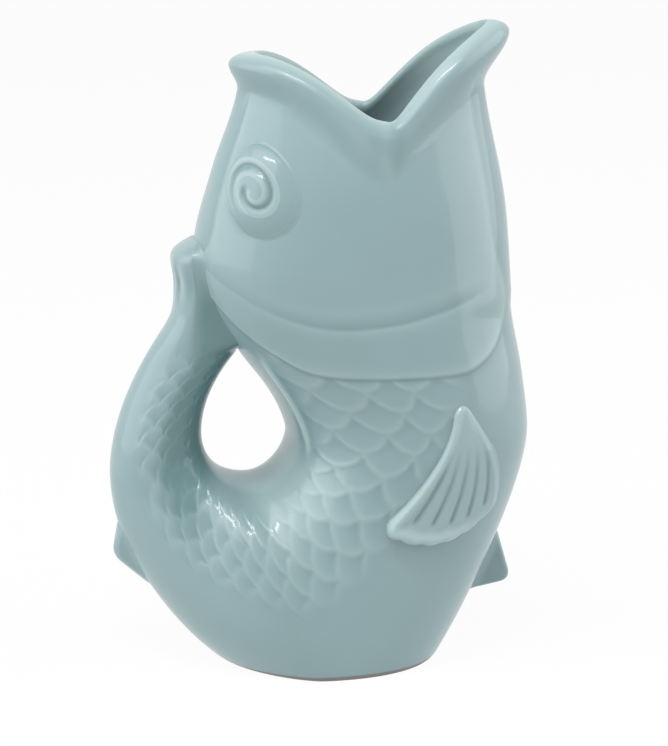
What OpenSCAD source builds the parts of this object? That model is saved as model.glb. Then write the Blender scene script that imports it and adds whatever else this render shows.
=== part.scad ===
// Fish-shaped gurgle jug, a slip-cast and glazed ceramic pitcher.
// The open mouth of the fish is the spout. Its hollow tail curls up behind the belly as the handle
// and traps the air that gurgles when the jug pours.
// +X points to the spout, +Z is up, and the jug stands on the table at z = 0.

/* [Walls] */
// Thickness of the cast wall
wall = 5; // [3.5:0.5:6]
// Thickness of the wall of the tail
tail_wall = 4.5; // [3.5:0.5:5.5]
// Thickness of the floor
floor_t = 6; // [4:0.5:9]
// Gap left by the slip between two luted pieces
joint_gap = 0.2; // [0.1:0.05:0.4]

/* [Foot] */
// Place of the middle of the foot along the jug
foot_x = 2; // [-2:0.5:6]
// Radius of the shallow recess under the foot
recess_r = 34; // [20:1:38]
// Depth of the recess under the foot
recess_d = 1.5; // [0.5:0.5:2.5]

/* [Belly] */
// Furthest reach of the belly under the spout, from the middle of the jug
belly_front = 84; // [78:0.5:92]
// Furthest reach of the tail loop behind the handle, from the middle of the jug
loop_back = 85.5; // [80:0.5:92]
// Height at which the tail loop reaches furthest back
loop_z = 76; // [70:1:80]
// Width of the belly across the fish
belly_w = 97; // [90:1:106]
// Depth of the front of the bowl's curve below the widest height, cut off flat by the table
front_depth = 135; // [125:1:145]
// Depth of the back of the bowl's curve below loop_z, cut off flat by the table
back_depth = 90.5; // [86:0.5:96]
// How far the front of the bowl is drawn in between the belly and the foot
front_tuck = 2; // [0:0.5:3]

/* [Handle hole] */
// Middle of the hole between belly and tail, along the jug
hole_x = -31; // [-33:0.5:-28]
// Height of the widest part of the hole and of the belly
hole_z = 92; // [88:1:96]
// Width of the hole
hole_w = 35; // [30:1:38]
// Height of the lowest point of the hole
hole_bottom = 70.5; // [66:0.5:76]
// Height of the pointed top of the hole, where the tail meets the back
hole_top = 126; // [123:1:132]
// Place of the pointed top of the hole along the jug
hole_top_x = -33.5; // [-36:0.5:-30]

/* [Head] */
// Height of the back of the head where it bulges most
nape_z = 166; // [160:1:172]
// Reach of the nape behind the middle of the jug
nape_back = 50.5; // [46:0.5:54]
// Width of the cheeks across the fish
cheek_w = 92; // [84:1:100]
// Height of the cheeks
cheek_z = 150; // [145:1:156]
// Reach of the throat in front of the middle of the jug, at the cheeks
throat_front = 77; // [72:0.5:82]
// Height of the narrowest part of the neck, under the lip
neck_z = 230; // [226:1:234]
// Reach of the neck behind the middle of the jug
neck_back = 32.5; // [30:0.5:35]
// Reach of the neck in front of the middle of the jug
neck_front = 66; // [62:0.5:70]
// Width of the neck across the fish
neck_w = 56; // [50:1:62]

/* [Gill and smile] */
// Height of the gill line at the throat
gill_front_z = 131; // [128:0.5:134]
// Lowest height of the gill line, on the cheeks
gill_low_z = 124; // [120:0.5:126]
// Height of the gill line at the nape
gill_back_z = 162; // [158:1:166]
// Step of the gill plates over the belly
gill_step = 0.8; // [0.5:0.1:1.5]
// Height of the smile groove above the gill line, on the cheeks
smile_rise = 19; // [15:0.5:22]
// How much further the smile groove rises from the gill line near the throat
smile_front_rise = 5; // [2:0.5:8]
// How much the smile groove comes down to the gill line near the nape
smile_back_drop = 7; // [4:0.5:9]
// Depth of the smile groove
smile_d = 0.6; // [0.4:0.1:1.5]
// Half the height of the smile groove
smile_half = 2.5; // [1.5:0.5:3.5]

/* [Mouth] */
// Height of the spout's tip, the top of the jug
spout_z = 255; // [250:1:262]
// Height of the lip at the back of the mouth
back_lip_z = 245.5; // [242:0.5:249]
// Height of the notches at the corners of the mouth
notch_z = 220; // [217:0.5:223]
// Place of the notches along the jug
notch_x = 22; // [18:0.5:27]
// Radius that rounds the bottom of a notch
notch_round = 3; // [1:0.5:5]
// How late the lip rises from the notches to the spout
spout_rise = 1.5; // [1.1:0.05:1.8]
// How late the lip rises from the notches to the back
back_rise = 1.2; // [1:0.05:1.5]
// Flare of the lip at the spout
spout_flare = 10; // [6:0.5:13]
// Flare of the lip at the notches
notch_flare = 4; // [2:0.5:6]
// Flare of the lip at the back
back_flare = 4; // [2:0.5:6]
// Height over which the lip flares at the spout
spout_curl = 21; // [16:1:26]
// Height over which the lip flares at the notches
notch_curl = 18; // [14:1:22]
// Height over which the lip flares at the back
back_curl = 10; // [8:1:16]
// Thickness of the lip at the spout
spout_lip_t = 9.5; // [7:0.5:11]
// Thickness of the lip at the notches
notch_lip_t = 6.5; // [5.5:0.5:7.5]
// Thickness of the lip at the back
back_lip_t = 6; // [5.5:0.5:7.5]
// Height over which the wall grows to the thickness of the lip
lip_curl = 14; // [10:1:18]
// Height of the outer rounding of the lip
lip_round = 4.5; // [3:0.5:6]
// Height of the inner rounding of the lip
lip_inner_round = 5; // [3:0.5:6]
// Place of the top of the lip across its thickness at the spout, as a share from the outside
spout_ridge = 0.9; // [0.6:0.05:0.9]
// The same place at the notches
notch_ridge = 0.5; // [0.4:0.05:0.6]
// The same place at the back
back_ridge = 0.85; // [0.6:0.05:0.9]

/* [Tail] */
// Width of the tail across the fish at the height of the hole
tail_w = 36; // [30:1:42]
// Width of the tail where its fin starts
tail_tip_w = 25; // [20:1:30]
// Height at which the tail fin starts
tail_fin_z = 141; // [138:1:146]
// Height of the top of the tail fin
tail_top_z = 171; // [167:1:178]
// Thickness of the tail fin where it starts
tail_fin_t = 16; // [14:0.5:19]
// Thickness of the tail fin at its middle
tail_fin_mid_t = 10; // [8:0.5:12]
// Thickness of the tail fin at its top
tail_fin_top_t = 5; // [3:0.5:6]
// Width of the tail fin near its top
tail_fin_w = 31; // [26:1:36]
// Depth of the ridges on the tail fin
tail_ridge = 0.8; // [0.3:0.1:1.2]

/* [Eyes] */
// Turn of the eyes from the front of the head, in degrees
eye_turn = 134.5; // [131:0.5:138]
// Height of the eyes
eye_z = 194.5; // [190:0.5:199]
// Height of an eye, up the head
eye_h = 34.5; // [31:0.5:38]
// Width of an eye, along the head
eye_w = 29.5; // [26:0.5:33]
// How much an eye leans to the nape at its top, for each millimetre up
eye_lean = 0.33; // [0.1:0.01:0.5]
// Height of an eye's dome above the head
eye_dome = 4; // [2.5:0.5:6]
// Thickness of an eye at its edge
eye_edge = 1.2; // [0.8:0.1:2]
// Depth of the spiral groove on an eye
spiral_d = 1; // [0.5:0.1:1.5]
// Pitch of the spiral groove, as a share of half the eye
spiral_pitch = 0.36; // [0.32:0.01:0.4]
// Radius at which the spiral groove starts, as a share of half the eye
spiral_start = 0.2; // [0.16:0.01:0.24]

/* [Pectoral fins] */
// Place of a pectoral fin's root along the jug
fin_x = 47.5; // [45:0.5:51]
// Height of a pectoral fin's root
fin_z = 111; // [108:0.5:114]
// Length of a pectoral fin from root to the back end of its rim
fin_len = 48.5; // [45:0.5:52]
// Width of a pectoral fin at its root
fin_root_w = 3.5; // [2:0.5:5]
// How far a pectoral fin's back edge sweeps back from its root
fin_back = 27.5; // [23:0.5:31]
// How far a pectoral fin's front edge bows out in front of its root
fin_front = 14.5; // [11:0.5:17]
// Thickness of a pectoral fin at its root
fin_root_t = 2; // [1.5:0.1:3]
// Thickness of a pectoral fin at its rim
fin_rim_t = 4.4; // [3.6:0.2:6]
// Share of that thickness left along a pectoral fin's front edge
fin_front_t = 0.5; // [0.45:0.05:0.7]
// Depth of the grooves between a pectoral fin's rays
fin_groove = 0.8; // [0.4:0.1:1]
// Rays of a pectoral fin
fin_rays = 6; // [5:1:8]

/* [Keel fins] */
// Reach of the pelvic fin's corner in front of the middle of the jug
pelvic_x = 79; // [76:0.5:84]
// Height of the pelvic fin's corner
pelvic_z = 24.5; // [22:0.5:29]
// Height at which the pelvic fin leaves the belly
pelvic_top_z = 48; // [44:1:52]
// Height at which the pelvic fin's bottom edge meets the belly
pelvic_low_z = 18.5; // [15:0.5:22]
// Reach of the anal fin's corner behind the middle of the jug
anal_x = 85; // [83:0.5:88]
// Height of the anal fin's corner
anal_z = 42; // [39:0.5:46]
// Height at which the anal fin leaves the tail
anal_top_z = 56; // [52:1:59]
// Height at which the anal fin's bottom edge meets the bowl
anal_low_z = 28; // [25:0.5:34]
// Thickness of a keel fin at its root
keel_root_t = 11; // [8:0.5:14]
// Thickness of a keel fin at its edge
keel_edge_t = 5; // [3:0.5:7]
// Least height of a keel fin, where it leaves the belly
keel_min = 1; // [0.5:0.1:1.5]

/* [Hidden] */
glaze = [0.60, 0.73, 0.75];
// Points round a ring of the belly and head, of the tail and of an eye
ring_n = 60;
tail_n = 30;
eye_n = 34;
// Angles about the hole, from the tail at 180 to the belly at 360: where the tail casting is joined to the
// belly, where the bowl reaches its full width, where its curve changes from the back one to the front one,
// where its sections start to fill out and are fullest, from where its side can carry a fin, and from where
// its front is drawn in
tail_joint = 202;
wide_from = 270;
front_from = 238;
front_to = 302;
fill_from = 190;
full_from = 250;
full_to = 300;
side_from = 230;
tuck_from = 312;
// Powers of the rounded sections of the tail, the bowl, the belly, the cheeks, the neck and the mouth
tail_round = 2.1;
full_round = 2.85;
belly_round = 2.5;
cheek_round = 2.3;
neck_round = 1.95;
mouth_round = 1.9;
// Times that the search for a place on the bowl's side halves its range
halvings = 24;
// Room beyond the bowl for the cut that flattens its foot
cut_room = 20;

function mix(a, b, t) = a + (b - a) * t;
function clamp01(t) = max(0, min(1, t));
function ramp(t) = let (s = clamp01(t)) s * s * (3 - 2 * s);
function spow(v, p) = sign(v) * pow(abs(v), p);
function turns(n) = [for (j = [0 : n - 1]) 360 * j / n];
function steps(n) = [for (i = [0 : n]) i / n];

// A smooth curve through the rows [place, value] of a profile
function row_at(rows, x, i = 0) =
    i >= len(rows) - 2 || x < rows[i + 1][0] ? i : row_at(rows, x, i + 1);
function row_slope(rows, i) =
    let (lo = max(i - 1, 0), hi = min(i + 1, len(rows) - 1))
    (rows[hi][1] - rows[lo][1]) / (rows[hi][0] - rows[lo][0]);
function curve(rows, place) =
    let (x = max(rows[0][0], min(rows[len(rows) - 1][0], place)),
         i = row_at(rows, x),
         h = rows[i + 1][0] - rows[i][0],
         t = (x - rows[i][0]) / h)
    rows[i][1] * (1 + 2 * t) * (1 - t) * (1 - t) + row_slope(rows, i) * h * t * (1 - t) * (1 - t)
    + rows[i + 1][1] * t * t * (3 - 2 * t) + row_slope(rows, i + 1) * h * t * t * (t - 1);

// Profiles of the upright part of the jug from the height of the hole up: back, front, half width
// and the roundness of a level section
hole_front = hole_x + hole_w / 2;
hole_back = hole_x - hole_w / 2;
below_hole = 2 * hole_bottom - hole_z;
back_rows = [[below_hole, hole_front], [hole_z, hole_front],
             [mix(hole_z, hole_top, 0.45), mix(hole_front, hole_top_x, 0.32)],
             [hole_top, hole_top_x],
             [mix(hole_top, nape_z, 0.5), mix(hole_top_x, -nape_back, 0.68)],
             [nape_z, -nape_back],
             [mix(nape_z, neck_z, 0.5), mix(-nape_back, -neck_back, 0.42)],
             [neck_z, -neck_back], [spout_z, -neck_back]];
front_rows = [[below_hole, belly_front], [hole_z, belly_front],
              [mix(hole_z, cheek_z, 0.45), mix(belly_front, throat_front, 0.42)],
              [mix(hole_z, cheek_z, 0.84), throat_front],
              [cheek_z, throat_front],
              [mix(cheek_z, neck_z, 0.45), mix(throat_front, neck_front, 0.25)],
              [neck_z, neck_front], [spout_z, neck_front]];
width_rows = [[below_hole, belly_w / 2], [hole_z, belly_w / 2], [cheek_z, cheek_w / 2],
              [mix(cheek_z, neck_z, 0.5), mix(cheek_w, neck_w, 0.34) / 2],
              [neck_z, neck_w / 2], [spout_z, neck_w / 2]];
round_rows = [[hole_z, belly_round], [cheek_z, cheek_round], [neck_z, neck_round], [spout_z, mouth_round]];

// A point of a level section: turn 0 is the front and 180 the back; out grows the section
function level_point(z, turn, out) =
    let (back = curve(back_rows, z), front = curve(front_rows, z), p = 2 / curve(round_rows, z))
    [(back + front) / 2 + ((front - back) / 2 + out) * spow(cos(turn), p),
     (curve(width_rows, z) + out) * spow(sin(turn), p), z];
// Where the back of the jug lies at a height and a distance y from the middle
function back_at(z, y) =
    let (back = curve(back_rows, z), front = curve(front_rows, z), n = curve(round_rows, z),
         s = abs(y) / curve(width_rows, z))
    (back + front) / 2 - (front - back) / 2 * pow(1 - pow(s, n), 1 / n);

// The bowl: sections that fan out round the hole, from the tail at 180 to the belly at 360
back_power = 1.06;
front_power = 1.35;
function hole_point(t) = [hole_x + hole_w / 2 * cos(t), hole_z + (hole_z - hole_bottom) * sin(t)];
function to_front(t) = ramp((t - front_from) / (front_to - front_from));
function bowl_point(t) =
    let (f = to_front(t), p = mix(back_power, front_power, f),
         tuck = front_tuck * pow(sin(180 * clamp01((t - tuck_from) / (360 - tuck_from))), 2))
    [mix(loop_back, belly_front, f) * spow(cos(t), p) - tuck,
     mix(loop_z, hole_z, f) - mix(back_depth, front_depth, f) * pow(abs(sin(t)), p)];
function bowl_half_w(t) = mix(tail_w, belly_w, ramp((t - 180) / (wide_from - 180))) / 2;
function bowl_round(t) =
    mix(tail_round, full_round, ramp((t - fill_from) / (full_from - fill_from)))
    + (belly_round - full_round) * ramp((t - full_to) / (360 - full_to));
function fan_point(t, turn, out) =
    let (a = hole_point(t), b = bowl_point(t), way = (b - a) / norm(b - a), p = 2 / bowl_round(t),
         q = (a + b) / 2 + way * (norm(b - a) / 2 + out) * spow(cos(turn), p))
    [q[0], (bowl_half_w(t) + out) * spow(sin(turn), p), q[1]];

// Half the width of the jug at a place on its side, seen from the side
function fan_side(q, t) = let (a = hole_point(t), b = bowl_point(t)) cross(b - a, q - a);
function fan_turn(q, lo, hi, n) =
    let (t = (lo + hi) / 2)
    n == 0 ? t : fan_side(q, t) > 0 ? fan_turn(q, t, hi, n - 1) : fan_turn(q, lo, t, n - 1);
function side_at(x, z) =
    z >= hole_z
    ? let (back = curve(back_rows, z), front = curve(front_rows, z), n = curve(round_rows, z),
           u = abs(2 * x - back - front) / (front - back))
      curve(width_rows, z) * pow(max(0, 1 - pow(u, n)), 1 / n)
    : let (t = fan_turn([x, z], side_from, 360, halvings), a = hole_point(t), b = bowl_point(t),
           n = bowl_round(t), u = abs(2 * norm([x, z] - a) / norm(b - a) - 1))
      bowl_half_w(t) * pow(max(0, 1 - pow(u, n)), 1 / n);

// Heights of the gill line, the smile groove and the rim round the head
function plate_share(turn) = ramp((0.97 - abs(cos(turn))) / 0.1);
function gill_z(turn) =
    let (u = cos(turn))
    gill_low_z + (gill_front_z - gill_low_z) * ramp((u - 0.3) / 0.65)
    + (gill_back_z - gill_low_z) * pow(clamp01((0.05 - u) / 1.05), 2);
function smile_z(turn) =
    let (u = cos(turn))
    gill_z(turn) + smile_rise + smile_front_rise * ramp((u - 0.3) / 0.6)
    - smile_back_drop * ramp((-0.2 - u) / 0.6);
notch_u = (2 * notch_x - neck_front + neck_back) / (neck_front + neck_back);
function lip_share(turn) =
    let (u = cos(turn)) u > notch_u ? (u - notch_u) / (1 - notch_u) : (notch_u - u) / (notch_u + 1);
function rim_z(turn) =
    let (high = cos(turn) > notch_u ? spout_z : back_lip_z,
         late = cos(turn) > notch_u ? spout_rise : back_rise,
         rise = (high - notch_z) * pow(sin(90 * lip_share(turn)), late))
    notch_z + sqrt(rise * rise + notch_round * notch_round)
    - notch_round * notch_round / sqrt(rise * rise + notch_round * notch_round);
// A size of the lip that changes from the notches to the spout and to the back of the mouth
lip_change = 1.4;
function by_lip(turn, at_notch, at_spout, at_back) =
    mix(at_notch, cos(turn) > notch_u ? at_spout : at_back, pow(lip_share(turn), lip_change));
// A point of the head, which flares to the lip and whose wall thickens inwards there
function head_point(z, turn, out) =
    let (over = rim_z(turn) - z - lip_round,
         size = by_lip(turn, notch_flare, spout_flare, back_flare),
         flare = size * ramp(1 - over / by_lip(turn, notch_curl, spout_curl, back_curl)),
         lip_t = by_lip(turn, notch_lip_t, spout_lip_t, back_lip_t),
         thicker = mix(1, lip_t / wall, ramp(1 - over / lip_curl)))
    level_point(z, turn, out * thicker + flare);

// A shell of rings that close on themselves, where the last ring meets the first
module ring_shell(rings) {
    m = len(rings);
    n = len(rings[0]);
    polyhedron([for (r = rings) each r],
        [for (i = [0 : m - 1], j = [0 : n - 1])
            let (k = (j + 1) % n, next = (i + 1) % m * n,
                 a = i * n + j, b = i * n + k, c = next + k, d = next + j)
            each [[a, c, b], [a, d, c]]], convexity = 8);
}
// A shell of rings that ends in a point before the first ring and a point after the last
module pole_shell(rings, first, last) {
    m = len(rings);
    n = len(rings[0]);
    polyhedron(concat([for (r = rings) each r], [first, last]),
        concat([for (i = [0 : m - 2], j = [0 : n - 1])
                   let (a = i * n + j, b = i * n + (j + 1) % n)
                   each [[a, b + n, b], [a, a + n, b + n]]],
               [for (j = [0 : n - 1]) [m * n, j, (j + 1) % n]],
               [for (j = [0 : n - 1]) [m * n + 1, (m - 1) * n + (j + 1) % n, (m - 1) * n + j]]),
        convexity = 8);
}
// A slab between a top sheet and a bottom sheet, each a grid of the same rows of points
module slab(top, bottom) {
    m = len(top);
    n = len(top[0]);
    edge = concat([for (j = [0 : n - 2]) j], [for (i = [0 : m - 2]) i * n + n - 1],
                  [for (j = [n - 1 : -1 : 1]) (m - 1) * n + j], [for (i = [m - 1 : -1 : 1]) i * n]);
    polyhedron(concat([for (r = top) each r], [for (r = bottom) each r]),
        concat([for (i = [0 : m - 2], j = [0 : n - 2])
                   let (a = i * n + j, h = m * n)
                   each [[a, a + n + 1, a + 1], [a, a + n, a + n + 1],
                         [h + a, h + a + 1, h + a + n + 1], [h + a, h + a + n + 1, h + a + n]]],
               [for (e = [0 : len(edge) - 1])
                   let (a = edge[e], b = edge[(e + 1) % len(edge)], h = m * n)
                   each [[a, b, h + b], [a, h + b, h + a]]]), convexity = 8);
}

// Belly bowl from the tail joint round under the hole and up to the gill line
function body_ring(s, out) =
    [for (turn = turns(ring_n))
        s > 1 ? level_point(mix(hole_z, gill_z(turn), s - 1), turn, out)
              : let (p = fan_point(mix(tail_joint, 360, s), turn, out))
                [p[0], p[1], out < 0 ? max(p[2], floor_t) : p[2]]];
body_outer = [for (s = steps(18)) s, for (s = steps(4)) if (s > 0) 1 + s];
body_inner = [2, 1.5, for (s = steps(14)) 1 - s];
module body_shell() {
    room = [loop_back + cut_room, belly_w / 2 + cut_room, front_depth];
    color(glaze)
    difference() {
        ring_shell(concat([for (s = body_outer) body_ring(s, 0)],
                          [for (s = body_inner) body_ring(s, -wall)]));
        translate([-room[0], -room[1], -room[2]]) cube([2 * room[0], 2 * room[1], room[2]]);
        translate([foot_x, 0, -cut_room]) cylinder(r = recess_r, h = recess_d + cut_room, $fn = 96);
    }
}

// Head from the gill line up past the smile groove to the rolled lip, open at both ends
function gill_ring(step, up, out = 0) =
    [for (turn = turns(ring_n))
        level_point(gill_z(turn) + up, turn, out + gill_step * step * plate_share(turn))];
function smile_ring(dip, up, out = 0) =
    [for (turn = turns(ring_n)) level_point(smile_z(turn) + up, turn, out + dip * plate_share(turn))];
function head_ring(s, out) =
    [for (turn = turns(ring_n))
        let (top = rim_z(turn) - (out < 0 ? lip_inner_round : lip_round))
        head_point(mix(smile_z(turn) + 2 * smile_half, top, s), turn, out)];
// A ring of the lip, where over runs from 0 at its outside to 180 at its inside
function lip_ring(over) =
    [for (turn = turns(ring_n))
        let (ridge = by_lip(turn, notch_ridge, spout_ridge, back_ridge),
             drop = (over < 90 ? lip_round : lip_inner_round) * (1 - sin(over)),
             inset = ridge - (over < 90 ? ridge : 1 - ridge) * cos(over))
        head_point(rim_z(turn) - drop, turn, -wall * inset)];
head_outer = [0, 0.12, 0.24, 0.36, 0.48, 0.58, 0.67, 0.75, 0.82, 0.88, 0.94, 1];
lip_over = [25, 55, 90, 120, 150];
head_inner = [1, 0.92, 0.82, 0.6, 0.4, 0.2, 0];
module head_shell() {
    color(glaze)
    ring_shell(concat(
        [gill_ring(0.5, joint_gap), gill_ring(1, joint_gap + gill_step), gill_ring(0.8, 4 * gill_step)],
        [smile_ring(gill_step * 0.4, -2 * smile_half), smile_ring(-smile_d * 0.2, -smile_half)],
        [smile_ring(-smile_d, 0), smile_ring(0, smile_half)],
        [for (s = head_outer) head_ring(s, 0)],
        [for (over = lip_over) lip_ring(over)],
        [for (s = head_inner) head_ring(s, -wall)],
        [smile_ring(0, 0, -wall), gill_ring(0, joint_gap, -wall)]));
}

// Hollow tail from its joint on the bowl up behind the hole to the foot of its fin, closed at the top
tail_bow = 1.85;
function tail_back(z) = mix(-loop_back, curve(back_rows, tail_fin_z) - tail_fin_t,
                            pow(clamp01((z - loop_z) / (tail_fin_z - loop_z)), tail_bow));
function tail_front(z) =
    z > hole_top ? curve(back_rows, z) - joint_gap
                 : mix(hole_back, hole_top_x - joint_gap, pow((z - hole_z) / (hole_top - hole_z), 2));
function tail_point(s, turn, out) =
    let (za = mix(hole_z, tail_fin_z, s), zb = mix(loop_z, tail_fin_z, s),
         a = [tail_front(za), za], b = [tail_back(zb), zb], way = (b - a) / norm(b - a),
         p = 2 / bowl_round(180), q = (a + b) / 2 + way * (norm(b - a) / 2 + out) * spow(cos(turn), p))
    [q[0], (mix(tail_w, tail_tip_w, s) / 2 + out) * spow(sin(turn), p), q[1]];
// The tail's end of the joint stands back from the bowl's end by the gap
joint_way = let (d = bowl_point(tail_joint) - hole_point(tail_joint)) [d[1], 0, -d[0]] / norm(d);
function tail_ring(s, out) =
    [for (turn = turns(tail_n))
        s < 0 ? fan_point(mix(180, tail_joint, -s), turn, out) + joint_way * joint_gap * -s
              : tail_point(s, turn, out)];
tail_outer = [for (s = steps(10)) 1 - s, -0.33, -0.66, -1];
tail_inner = [-1, -0.5, 0, 0.18, 0.35, 0.5, 0.65, 0.8];
function tail_middle(s) = (tail_point(s, 0, 0) + tail_point(s, 180, 0)) / 2;
module tail_handle() {
    color(glaze)
    pole_shell(concat([for (s = tail_outer) tail_ring(s, 0)],
                      [for (s = tail_inner) tail_ring(s, -tail_wall)]),
        tail_middle(tail_outer[0]), tail_middle(tail_inner[len(tail_inner) - 1]));
}

// Tail fin: a ridged fan that stands on the end of the tail and lies against the back of the head
fin_low = tail_fin_z + joint_gap;
fin_t_rows = [[fin_low, tail_fin_t], [mix(fin_low, tail_top_z, 0.45), tail_fin_mid_t],
              [mix(fin_low, tail_top_z, 0.85), mix(tail_fin_mid_t, tail_fin_top_t, 0.4)],
              [tail_top_z, tail_fin_top_t]];
fin_w_rows = [[fin_low, tail_tip_w / 2], [mix(fin_low, tail_top_z, 0.75), tail_fin_w / 2],
              [tail_top_z, mix(tail_tip_w, tail_fin_w, 0.4) / 2]];
function tail_fin_sheet(share) =
    [for (i = steps(10))
        [for (j = steps(16))
            let (z = mix(fin_low, tail_top_z, i), y = curve(fin_w_rows, z) * (2 * j - 1),
                 deep = curve(fin_t_rows, z) * sqrt(1 - 0.85 * pow(2 * j - 1, 2))
                        - tail_ridge * pow(cos(4 * 180 * j), 2) * ramp(3 * i))
            [back_at(z, y) - joint_gap - deep * share, y, z]]];
module tail_fin() {
    color(glaze) slab(tail_fin_sheet(0), tail_fin_sheet(1));
}

// Eye: a domed roundel with a spiral groove, laid on the side of the head
eye_reach = norm(level_point(eye_z, eye_turn + 0.5, 0) - level_point(eye_z, eye_turn - 0.5, 0));
function eye_point(s, turn, up) =
    let (z = eye_z + s * eye_h / 2 * sin(turn))
    level_point(z, eye_turn + (s * eye_w / 2 * cos(turn) + eye_lean * (z - eye_z)) / eye_reach, up);
// The groove winds out for a little over one turn and runs shallow at both its ends
groove_half = 0.22;
function spiral_at(s, turn) =
    let (about = (turn > 180 ? turn - 360 : turn) / 360, off = (s - spiral_start) / spiral_pitch + about,
         wound = round(off) - about)
    spiral_d * ramp((wound + 0.2) / 0.25) * (1 - ramp((wound - 0.85) / 0.35))
    * exp(-pow((off - round(off)) / groove_half, 2));
function eye_top(s, turn) =
    eye_point(s, turn, eye_edge + (eye_dome - eye_edge) * (1 - pow(s, 3)) - spiral_at(s, turn));
module eye() {
    pole_shell(concat(
        [for (s = [0.35, 0.7, 1]) [for (t = turns(eye_n)) eye_point(s, t, joint_gap)]],
        [for (s = [1, 0.95, for (i = [12 : -1 : 1]) 0.9 * i / 12]) [for (t = turns(eye_n)) eye_top(s, t)]]),
        eye_point(0, 0, joint_gap), eye_top(0, 0));
}
module eye_left() { color(glaze) eye(); }
module eye_right() { color(glaze) mirror([0, 1, 0]) eye(); }

// Pectoral fin: a fan of grooved rays that stands off the side of the belly at its rim, where t runs from
// the root to the rim and s from the back edge to the front edge
rim_bow = 0.21;
front_len = 0.86;
function fin_edge_back(t) = fin_x - fin_root_w / 2 - fin_back * pow(t, 1.9);
function fin_edge_front(t) = fin_x + fin_root_w / 2 + fin_front * sin(110 * t);
function fin_place(t, s) =
    [mix(fin_edge_back(t), fin_edge_front(t), s),
     fin_z - fin_len * (t * mix(1, front_len, s) + rim_bow * t * t * pow(sin(180 * s), 0.8))];
function fin_sheet(share) =
    [for (t = steps(12))
        [for (s = steps(2 * fin_rays))
            let (q = fin_place(t, s),
                 groove = abs(2 * s - 1) < 1 ? fin_groove * pow(cos(180 * fin_rays * s), 2) : 0,
                 thick = mix(fin_root_t, fin_rim_t, pow(t, 1.2)) * mix(1, fin_front_t, ramp((s - 0.4) / 0.6)),
                 up = thick - groove * ramp((t - 0.3) / 0.3) * ramp((0.97 - t) / 0.1))
            [q[0], side_at(q[0], q[1]) + joint_gap + up * share, q[1]]]];
module pectoral_fin() { slab(fin_sheet(1), fin_sheet(0)); }
module pectoral_fin_left() { color(glaze) pectoral_fin(); }
module pectoral_fin_right() { color(glaze) mirror([0, 1, 0]) pectoral_fin(); }

// Keel fins: blades on the middle line of the bowl, one under the spout and one under the tail
function front_turn(z) = 360 - asin(pow((hole_z - z) / front_depth, 1 / front_power));
function back_turn(z) = 180 + asin(pow((loop_z - z) / back_depth, 1 / back_power));
function bowl_out(t) = let (d = bowl_point(t + 0.5) - bowl_point(t - 0.5)) [d[1], -d[0]] / norm(d);
function keel_sheet(from, to, corner, side) =
    [for (i = steps(6))
        let (t = mix(from, to, i), low = bowl_point(t) + bowl_out(t) * joint_gap,
             high = mix(bowl_point(from) + bowl_out(from) * (joint_gap + keel_min), corner, i))
        [for (j = steps(2))
            let (q = mix(low, high, j)) [q[0], side * mix(keel_root_t, keel_edge_t, pow(j, 0.6)) / 2, q[1]]]];
module pelvic_fin() {
    from = front_turn(pelvic_top_z);
    to = front_turn(pelvic_low_z);
    corner = [pelvic_x, pelvic_z];
    color(glaze) slab(keel_sheet(from, to, corner, 1), keel_sheet(from, to, corner, -1));
}
module anal_fin() {
    from = back_turn(anal_top_z);
    to = back_turn(anal_low_z);
    corner = [-anal_x, anal_z];
    color(glaze) slab(keel_sheet(from, to, corner, -1), keel_sheet(from, to, corner, 1));
}

body_shell();
head_shell();
tail_handle();
tail_fin();
eye_left();
eye_right();
pectoral_fin_left();
pectoral_fin_right();
pelvic_fin();
anal_fin();
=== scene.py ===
import math

import bmesh
import bpy
import numpy as np
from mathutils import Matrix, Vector


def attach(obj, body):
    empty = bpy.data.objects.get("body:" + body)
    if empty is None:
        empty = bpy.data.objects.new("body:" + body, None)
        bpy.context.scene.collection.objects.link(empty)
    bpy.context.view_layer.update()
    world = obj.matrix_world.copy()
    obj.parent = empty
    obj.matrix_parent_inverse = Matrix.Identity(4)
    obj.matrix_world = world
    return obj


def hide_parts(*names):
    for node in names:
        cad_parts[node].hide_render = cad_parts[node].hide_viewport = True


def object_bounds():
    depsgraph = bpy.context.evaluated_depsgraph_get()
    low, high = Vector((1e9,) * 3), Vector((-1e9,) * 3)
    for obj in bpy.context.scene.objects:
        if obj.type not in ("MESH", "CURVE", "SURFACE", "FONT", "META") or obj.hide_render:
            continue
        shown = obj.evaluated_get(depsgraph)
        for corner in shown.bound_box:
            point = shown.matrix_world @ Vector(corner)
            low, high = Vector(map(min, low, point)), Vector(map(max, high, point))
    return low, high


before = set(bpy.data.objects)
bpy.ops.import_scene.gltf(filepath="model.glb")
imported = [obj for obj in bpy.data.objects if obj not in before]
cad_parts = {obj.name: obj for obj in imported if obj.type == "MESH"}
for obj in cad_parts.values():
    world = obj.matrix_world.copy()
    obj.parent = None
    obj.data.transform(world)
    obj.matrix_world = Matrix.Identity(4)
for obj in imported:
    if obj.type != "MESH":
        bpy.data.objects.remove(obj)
cad_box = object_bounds()

# Studio
# A pale table that runs back into white, with a large softbox on each side of the jug, a smaller one
# high on the left and a narrow spot above, and a camera a metre off, a little to the left of square on
# and looking down at the jug.
PHOTO_SIZE = (668, 746)
MM = 0.001
lens_pixels = 2479.5
view_turn = math.radians(-9)
view_rise = math.radians(13.3)
view_distance = 1.0
view_target = Vector((6, 0, 127)) * MM
target_pixel = (334.5, 342.0)

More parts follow.
